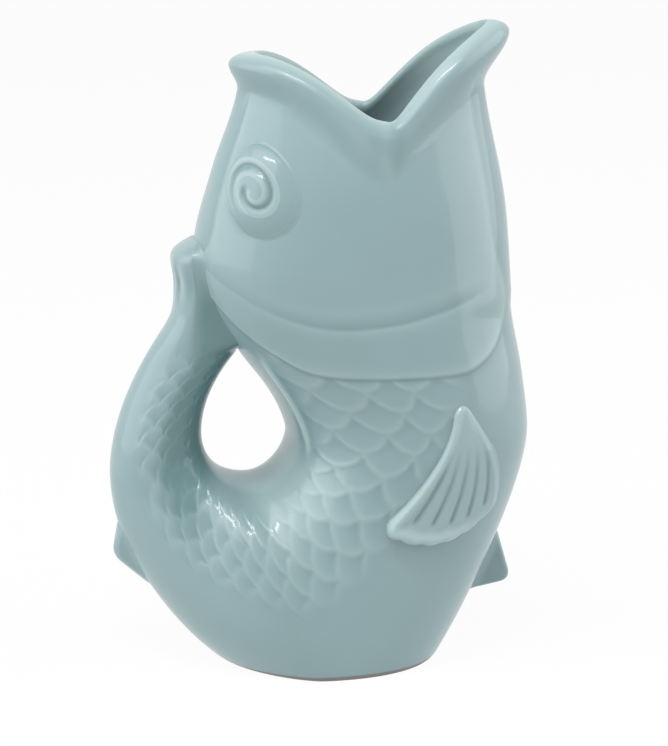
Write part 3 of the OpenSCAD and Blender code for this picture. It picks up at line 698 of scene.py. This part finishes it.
def cast_piece(name, rings, facing, depth, closed):
    """A closed piece of rings, whose last ring meets the first where closed, and which else ends in poles."""
    rows, columns = rings.shape[:2]
    bm = bmesh.new()
    bmesh.ops.create_grid(bm, x_segments=columns, y_segments=rows if closed else rows - 1, size=1)
    row_of = np.arange(len(bm.verts)) // (columns + 1) % rows
    column_of = np.arange(len(bm.verts)) % (columns + 1) % columns
    places = rings[row_of, column_of] * MM
    facings = facing[row_of, column_of]
    depths = depth[row_of, column_of]
    glaze_and_light_layer = bm.verts.layers.float.new("glaze_depth_and_painted_light")
    facing_layer = bm.verts.layers.float_vector.new("facing")
    for vert, place, way, deep in zip(bm.verts, places, facings, depths):
        vert.co = place
        vert[glaze_and_light_layer] = deep
        vert[facing_layer] = way
    bmesh.ops.remove_doubles(bm, verts=bm.verts, dist=1e-7)
    bmesh.ops.dissolve_degenerate(bm, edges=bm.edges, dist=1e-8)
    if bm.calc_volume(signed=True) < 0:
        bmesh.ops.reverse_faces(bm, faces=bm.faces)
    mesh = bpy.data.meshes.new(name)
    bm.to_mesh(mesh)
    bm.free()
    mesh.polygons.foreach_set("use_smooth", np.ones(len(mesh.polygons), bool))
    ways = np.zeros(len(mesh.vertices) * 3, np.float32)
    mesh.attributes["facing"].data.foreach_get("vector", ways)
    mesh.attributes.remove(mesh.attributes["facing"])
    if facing.any():
        mesh.normals_split_custom_set_from_vertices(ways.reshape(-1, 3).tolist())
    piece = bpy.data.objects.new(name, mesh)
    bpy.context.scene.collection.objects.link(piece)
    return piece


# Glaze: a glossy pale blue-green, darker where it pools in a crease and paler where it runs thin on an edge,
# with a faint drift of tone from the firing; the same darker and paler tones also carry painted shade and
# painted light. The bottom edge of the foot, up to about 2 mm, turns dark brown-grey and rough.
glaze_mid = (0.260, 0.378, 0.396, 1)
# The dark tone is pooled glaze and painted shade; the pale tone is thin glaze and painted light.
glaze_deep_and_painted_shade = (0.130, 0.240, 0.246, 1)
glaze_thin_and_painted_light = (0.410, 0.545, 0.540, 1)
foot_band_colour = (0.215, 0.205, 0.19, 1)


def glaze_material():
    material = bpy.data.materials.new("celadon_glaze")
    material.use_nodes = True
    nodes, links = material.node_tree.nodes, material.node_tree.links
    shader = nodes["Principled BSDF"]
    shader.inputs["IOR"].default_value = 1.4
    shader.inputs["Coat Weight"].default_value = 0.5
    shader.inputs["Coat Roughness"].default_value = 0.07
    place = nodes.new("ShaderNodeTexCoord").outputs["Object"]

    # The pale and dark tones follow the glaze depth together with its painted light and shade.
    glaze_and_light_attribute = nodes.new("ShaderNodeAttribute")
    glaze_and_light_attribute.attribute_name = "glaze_depth_and_painted_light"
    half = nodes.new("ShaderNodeMath")
    half.operation = "MULTIPLY_ADD"
    half.inputs[1].default_value = 0.5
    half.inputs[2].default_value = 0.5
    links.new(glaze_and_light_attribute.outputs["Fac"], half.inputs[0])
    tones = nodes.new("ShaderNodeValToRGB")
    tones.color_ramp.elements[0].color = glaze_thin_and_painted_light
    tones.color_ramp.elements[1].color = glaze_deep_and_painted_shade
    tones.color_ramp.elements.new(0.5).color = glaze_mid
    links.new(half.outputs[0], tones.inputs["Fac"])

    drift = nodes.new("ShaderNodeTexNoise")
    drift.inputs["Scale"].default_value = 22
    drift.inputs["Detail"].default_value = 3
    links.new(place, drift.inputs["Vector"])
    drift_level = nodes.new("ShaderNodeMapRange")
    drift_level.inputs["To Min"].default_value = 0.92
    drift_level.inputs["To Max"].default_value = 1.08
    links.new(drift.outputs["Fac"], drift_level.inputs["Value"])
    toned = nodes.new("ShaderNodeVectorMath")
    toned.operation = "SCALE"
    links.new(tones.outputs["Color"], toned.inputs[0])
    links.new(drift_level.outputs["Result"], toned.inputs["Scale"])

    height = nodes.new("ShaderNodeSeparateXYZ")
    links.new(place, height.inputs["Vector"])
    # Dark brown-grey and rough below about 2 mm at the bottom of the foot.
    foot_band = nodes.new("ShaderNodeMapRange")
    foot_band.inputs["From Min"].default_value = 2.2 * MM
    foot_band.inputs["From Max"].default_value = 1.5 * MM
    links.new(height.outputs["Z"], foot_band.inputs["Value"])
    foot = nodes.new("ShaderNodeMix")
    foot.data_type = "RGBA"
    foot.inputs["B"].default_value = foot_band_colour
    links.new(foot_band.outputs["Result"], foot.inputs["Factor"])
    links.new(toned.outputs["Vector"], foot.inputs["A"])
    links.new(foot.outputs["Result"], shader.inputs["Base Color"])

    gloss = nodes.new("ShaderNodeTexNoise")
    gloss.inputs["Scale"].default_value = 60
    links.new(place, gloss.inputs["Vector"])
    gloss_level = nodes.new("ShaderNodeMapRange")
    gloss_level.inputs["To Min"].default_value = 0.36
    gloss_level.inputs["To Max"].default_value = 0.44
    links.new(gloss.outputs["Fac"], gloss_level.inputs["Value"])
    matt_foot = nodes.new("ShaderNodeMix")
    matt_foot.inputs["B"].default_value = 0.85
    links.new(foot_band.outputs["Result"], matt_foot.inputs["Factor"])
    links.new(gloss_level.outputs["Result"], matt_foot.inputs["A"])
    links.new(matt_foot.outputs["Result"], shader.inputs["Roughness"])

    ripple = nodes.new("ShaderNodeTexNoise")
    ripple.inputs["Scale"].default_value = 110
    ripple.inputs["Detail"].default_value = 1
    links.new(place, ripple.inputs["Vector"])
    ripple_bump = nodes.new("ShaderNodeBump")
    ripple_bump.inputs["Strength"].default_value = 0.12
    ripple_bump.inputs["Distance"].default_value = 0.5 * MM
    links.new(ripple.outputs["Fac"], ripple_bump.inputs["Height"])
    links.new(ripple_bump.outputs["Normal"], shader.inputs["Normal"])
    return material


glaze = glaze_material()


def fire(piece, *nodes):
    """Glazes a piece, fixes it to the jug and lets it stand for its solids."""
    piece.data.materials.append(glaze)
    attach(piece, "root")
    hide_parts(*nodes)


def sprig(name, rings, depth, node):
    """A small pressed piece that ends in poles and whose shading follows its own faces."""
    fire(cast_piece(name, rings, np.zeros_like(rings), depth, False), node)


# Painted light inside the mouth: its inner walls are made paler towards the lip, where the walls shade them.
mouth_painted_light, mouth_light_from, mouth_light_span = 0.6, 180, 35


def shell_rings(first, last, inner_first, inner_last):
    """Rings of a shell between two rows of the skin: the outside first, then the inside back down."""
    inside = slice(inner_last, inner_first - 1 if inner_first else None, -1)
    # Inner rings high in the mouth are painted paler, as painted light.
    mouth_light = -mouth_painted_light * ramp((inner[inside, :, 2] - mouth_light_from) / mouth_light_span)
    return (np.concatenate([outer[first:last + 1], inner[inside]]),
            np.concatenate([outer_facing[first:last + 1], inner_facing[inside]]),
            np.concatenate([glaze_depth_and_painted_light[first:last + 1], mouth_light]))


# Belly
# The bowl and belly of the fish, cast in one with the walls under the hole: 5 mm of earthenware with low
# scales on its sides and a wiped foot. The tail and the head are luted to its two ends.
fire(cast_piece("belly", *shell_rings(JOINT_ROW, GILL_ROW, INNER_JOINT, INNER_GILL), True), "body_shell")

# Tail
# The hollow tail that curls up behind the hole as the handle, cast with scales that get smaller towards
# its tip, luted to the bowl at its foot and closed at the top under its fin.
level_pool = np.zeros((1, COLUMNS))


def end_point(ring):
    """The middle of a ring, as a ring that closes to a point."""
    return ring.mean(0, keepdims=True).repeat(COLUMNS, 0)[None]


def capped(rings, facing, depth):
    """Rings of a piece, closed at both ends by their middles."""
    return (np.concatenate([end_point(rings[0]), rings, end_point(rings[-1])]),
            np.concatenate([facing[:1], facing, facing[-1:]]),
            np.concatenate([level_pool, depth, level_pool]))


tail_shell = capped(*shell_rings(FIN_ROWS, JOINT_ROW, INNER_TIP, INNER_JOINT))
fire(cast_piece("tail", *tail_shell, False), "tail_handle")

# Tail fin
# A small ridged fan at the tail's tip, pressed in its own mould and luted to the tail and to the nape.
fan = slice(0, FIN_ROWS + 1)
fire(cast_piece("tail_fan", *capped(outer[fan], outer_facing[fan], glaze_depth_and_painted_light[fan]), False), "tail_fin")

# Head
# The head with its gill plates, smile groove and rolled lip, open through the mouth: the same 5 mm wall,
# luted to the belly along the gill line.
head_rings = shell_rings(GILL_ROW, len(outer) - 1, INNER_GILL, len(inner) - 2)
fire(cast_piece("head", *head_rings, True), "head_shell")

# Eyes
# A domed roundel with a spiral groove on each cheek, pressed in a sprig mould and luted to the gill plate.
EYE_ROWS, EYE_COLUMNS = 110, 240
eye_turn = math.radians(134.5)
eye_z = 194.5
eye_h = 34.5
eye_w = 29.5
eye_lean = 0.33
eye_dome = 5.0
spiral_d = 1.0
spiral_pitch = 0.4
spiral_start = 0.24
eye_edge_rise, eye_edge_drop = 0.3, 0.15
groove_half = 0.2
eye_across = level_point(eye_z, eye_turn + 0.01, 0) - level_point(eye_z, eye_turn - 0.01, 0)
eye_reach = np.linalg.norm(eye_across) / 0.02
SIDES = {"left": 1, "right": -1}


def eye_point(share, round_eye, up):
    """A point of an eye at a share of its half size, a turn round it and a height over the plate."""
    z = eye_z + share * eye_h / 2 * np.sin(round_eye)
    at = eye_turn + (share * eye_w / 2 * np.cos(round_eye) + eye_lean * (z - eye_z)) / eye_reach
    return level_point(z, at, plate_height(z - gill_z(at)) + up)


def from_spiral(share, round_eye):
    """How far a place on an eye lies from the groove, as a share of its pitch, and how deep that is."""
    about = np.where(round_eye > math.pi, round_eye - 2 * math.pi, round_eye) / (2 * math.pi)
    off = (share - spiral_start) / spiral_pitch + about
    turns = np.round(off) - about
    return off - np.round(off), ramp((turns + 0.2) / 0.25) * (1 - ramp((turns - 0.85) / 0.35))


eye_share = (np.arange(1, EYE_ROWS + 1) / EYE_ROWS * 1.1)[:, None]
round_eye = np.arange(EYE_COLUMNS) * 2 * math.pi / EYE_COLUMNS
off_groove, groove_deep = from_spiral(eye_share, round_eye)
steep = ramp(0.5 + 0.45 * np.cos(round_eye) + 0.35 * np.sin(round_eye))
eye_up = eye_dome * (1 - np.minimum(eye_share, 1) ** mix(2.0, 4.5, steep)) ** mix(0.85, 0.55, steep)
eye_up = eye_up - spiral_d * groove_deep * hump(off_groove / groove_half)
eye_up = eye_up + eye_edge_rise * hump((eye_share - 1) / 0.05)
eye_up = eye_up - eye_edge_drop * ramp((eye_share - 1) / 0.1)
eye_middle = np.repeat(eye_point(0, 0, eye_up[:1].mean(1)).reshape(1, 1, 3), EYE_COLUMNS, 1)
eye_under = np.repeat(eye_point(0, 0, -1.5).reshape(1, 1, 3), EYE_COLUMNS, 1)
eye_rings = np.concatenate([eye_middle, eye_point(eye_share, round_eye, eye_up), eye_under])
eye_pool = np.clip(groove_deep * (1.2 * hump(off_groove / groove_half) - 0.5), -0.5, 1)
eye_pool = np.concatenate([eye_pool[:1], eye_pool, eye_pool[-1:]])
for side_name, side in SIDES.items():
    sprig("eye_roundel_" + side_name, eye_rings * (1, side, 1), eye_pool, "eye_" + side_name)

# Pectoral fins
# A fan of grooved rays with a rolled back edge and rim, pressed in a sprig mould and luted to each flank so
# that its front edge runs out into the belly.
FIN_ALONG, FIN_ACROSS = 150, 150
fin_x = 49.3
fin_z = 111.0
fin_len = 48.5
fin_root_w = 7.5
fin_root_round = 3.5
fin_back, fin_back_bow = 30.0, 1.9
fin_front, fin_front_sweep = 13.2, math.radians(110)
fin_front_len = 0.86
fin_rim_bow = 0.21
fin_rays = 6
fin_scallop = 0.7
fin_t = 4.2
fin_root_t = 1.5
fin_sunk = 0.12
fin_roll, fin_roll_half = 2.0, 1.9
fin_hollow = 0.62
fin_front_thin = 0.36
front_ridge_t = 0.5
ray_groove = 0.95
tip_r = 5.0


def side_at(x, z):
    """Half the width of the jug at a place on its side."""
    back, front = profile(back_rows, z), profile(front_rows, z)
    u = (2 * x - back - front) / (front - back)
    n = np.where(u < 0, profile(back_round_rows, z), profile(round_rows, z))
    high = profile(width_rows, z) * np.clip(1 - np.abs(u) ** n, 0, 1) ** (1 / n)
    lo, hi = np.full_like(x, math.radians(230)), np.full_like(x, 2 * math.pi)
    q = np.stack([x, z], -1)
    for _ in range(24):
        t = (lo + hi) / 2
        a, b = hole_point(t), bowl_point(t)
        on = (b - a)[..., 0] * (q - a)[..., 1] - (b - a)[..., 1] * (q - a)[..., 0] > 0
        lo, hi = np.where(on, t, lo), np.where(on, hi, t)
    u = 2 * np.linalg.norm(q - a, axis=-1) / np.linalg.norm(b - a, axis=-1) - 1
    n = np.where(u < 0, np.minimum(bowl_round(t), hole_round), bowl_round(t))
    low = bowl_half_w(t) * np.clip(1 - np.abs(u) ** n, 0, 1) ** (1 / n)
    return np.where(z >= hole_z, high, low)


down, across = np.meshgrid(np.linspace(0, 1, FIN_ALONG), np.linspace(0, 1, FIN_ACROSS), indexing="ij")
edge_back = fin_x - fin_root_w / 2 - fin_back * down ** fin_back_bow
edge_front = fin_x + fin_root_w / 2 + fin_front * np.sin(fin_front_sweep * down)
fin_wide = edge_front - edge_back
fin_px = mix(edge_back, edge_front, across)
rim_bow = fin_rim_bow * fin_len * down ** 2 * np.sin(math.pi * across) ** 0.8
fin_low = fin_len * down * mix(1, fin_front_len, across) + rim_bow
fin_low = fin_low + fin_root_round * (2 * across - 1) ** 2 * (1 - down) ** 4
fin_low = fin_low + fin_scallop * down ** 6 * np.abs(np.sin(math.pi * fin_rays * across))
fin_pz = fin_z - fin_low
to_back, to_front_edge = across * fin_wide, (1 - across) * fin_wide
to_rim, to_root = (1 - down) * fin_len, down * fin_len
from_tip = np.hypot(np.clip(tip_r - to_back, 0, None), np.clip(tip_r - to_rim, 0, None))
to_roll = np.minimum(np.minimum(to_back, to_rim), tip_r - from_tip)
fin_rise = mix(fin_root_t, fin_t, down ** 1.2) * mix(1, fin_front_thin, ramp((across - 0.4) / 0.6))
roll = hump((to_roll - fin_roll) / fin_roll_half) * (1 - ramp((across - 0.6) / 0.35))
fin_up = fin_rise * mix(fin_hollow, 1, roll)
front_ridge = hump((to_front_edge - 2.2) / 1.6) * ramp((down - 0.3) / 0.2) * ramp((0.95 - down) / 0.3)
fin_up = fin_up + front_ridge_t * front_ridge
ray_off = across * fin_rays - np.round(across * fin_rays)
ray_here = (np.round(across * fin_rays) % fin_rays > 0) * ramp((down - 0.3) / 0.3) * ramp((0.9 - down) / 0.05)
ray_cut = hump(ray_off * fin_wide / fin_rays) * ray_here * mix(0.3, 1, down ** 1.5)
fin_up = fin_up - ray_groove * ray_cut
round_edge = np.sqrt(1 - (1 - np.clip(to_roll / fin_roll, 0, 1)) ** 2)
fin_up = fin_up * round_edge * ramp(to_front_edge / 3.2) * ramp((to_root + 0.2) / 2.5) - fin_sunk
fin_under = -fin_sunk - 0.6 * ramp(to_roll / 2) * ramp(to_front_edge / 2) * ramp(to_root / 2)
fin_side = side_at(fin_px, fin_pz)


def slab_rings(top, bottom):
    """Rings over a top sheet and back under its bottom sheet, which meet along all four edges."""
    return np.concatenate([top, bottom[:, -2:0:-1]], 1)


fin_top = np.stack([fin_px, fin_side + fin_up, fin_pz], -1)
fin_bottom = np.stack([fin_px, fin_side + fin_under, fin_pz], -1)
fin_rings_round = slab_rings(fin_top, fin_bottom)
fin_pool = slab_rings(np.clip(1.1 * ray_cut - 0.5 * roll * round_edge - 0.3, -0.8, 1), np.zeros_like(down))
for side_name, side in SIDES.items():
    sprig("pectoral_fan_" + side_name, fin_rings_round * (1, side, 1), fin_pool, "pectoral_fin_" + side_name)

# Keel fins
# Two small blades on the middle line of the bowl, the pelvic fin under the spout and the anal fin under the
# tail, with round edges and a fillet of slip along their roots.
KEEL_ALONG, KEEL_UP = 90, 40
keel_root_t = 11.0
keel_edge_t = 5.0
keel_corner_r = 5.0
keel_edge_round = 2.6
keel_thin_over = 8.0
keel_fillet, keel_fillet_half = 3.0, 2.2
keel_sunk = 4.5
pelvic_top_z, pelvic_corner, pelvic_low_z = 52.0, (80.5, 23.0), 18.5
anal_top_z, anal_corner, anal_low_z = 56.0, (-85.5, 42.0), 28.0


def keel_blade(name, node, turn_top, turn_low, corner):
    """A blade between two turns of the bowl's middle line that reaches out to a rounded corner."""
    along = np.linspace(0, 1, KEEL_ALONG)[:, None]
    ends = bowl_point(np.array([turn_top, turn_low]))
    corner = np.array(corner)
    legs = np.linalg.norm(ends - corner, axis=-1)
    reach = along * legs.sum()
    first = mix(ends[0], corner, np.clip(reach / legs[0], 0, 1))
    second = mix(corner, ends[1], np.clip((reach - legs[0]) / legs[1], 0, 1))
    near = np.clip((reach - legs[0]) / keel_corner_r / 2 + 0.5, 0, 1)
    pull = keel_corner_r * np.minimum(near, 1 - near) ** 2 * ((ends - corner) / legs[:, None]).sum(0)
    edge = first + second - corner + pull
    root_turn = mix(turn_top, turn_low, along)[:, 0]
    step = bowl_point(root_turn + 0.01) - bowl_point(root_turn - 0.01)
    inward = np.stack([-step[:, 1], step[:, 0]], -1) / np.linalg.norm(step, axis=-1, keepdims=True)
    root = bowl_point(root_turn) + keel_sunk * inward
    up = np.linspace(0, 1, KEEL_UP)
    place = mix(root[:, None], edge[:, None], up[None, :, None])
    tall = np.linalg.norm(edge - root, axis=-1)[:, None]
    to_edge, to_root = (1 - up) * tall, up * tall - keel_sunk
    half_t = mix(keel_root_t, keel_edge_t, ramp(to_root / keel_thin_over)) / 2
    half_t = half_t + keel_fillet * hump((to_root + 2.5) / keel_fillet_half)
    round_edge = np.sqrt(1 - (1 - np.clip(to_edge / keel_edge_round, 0, 1)) ** 2)
    half_t = half_t * round_edge * np.clip(up * tall / 1.5, 0, 1)
    half_t = half_t * np.sqrt(1 - np.abs(2 * along - 1) ** 8)
    sheet = [np.stack([place[..., 0], flip * half_t, place[..., 1]], -1) for flip in (1, -1)]
    rings = slab_rings(*sheet)
    sprig(name, rings, np.zeros(rings.shape[:2]), node)


def front_turn(z):
    return 2 * math.pi - math.asin(((hole_z - z) / front_depth) ** (1 / front_power))


def back_turn(z):
    return math.pi + math.asin(((loop_z - z) / back_depth) ** (1 / back_power))


keel_blade("pelvic_blade", "pelvic_fin", front_turn(pelvic_top_z), front_turn(pelvic_low_z), pelvic_corner)
keel_blade("anal_blade", "anal_fin", back_turn(anal_top_z), back_turn(anal_low_z), anal_corner)
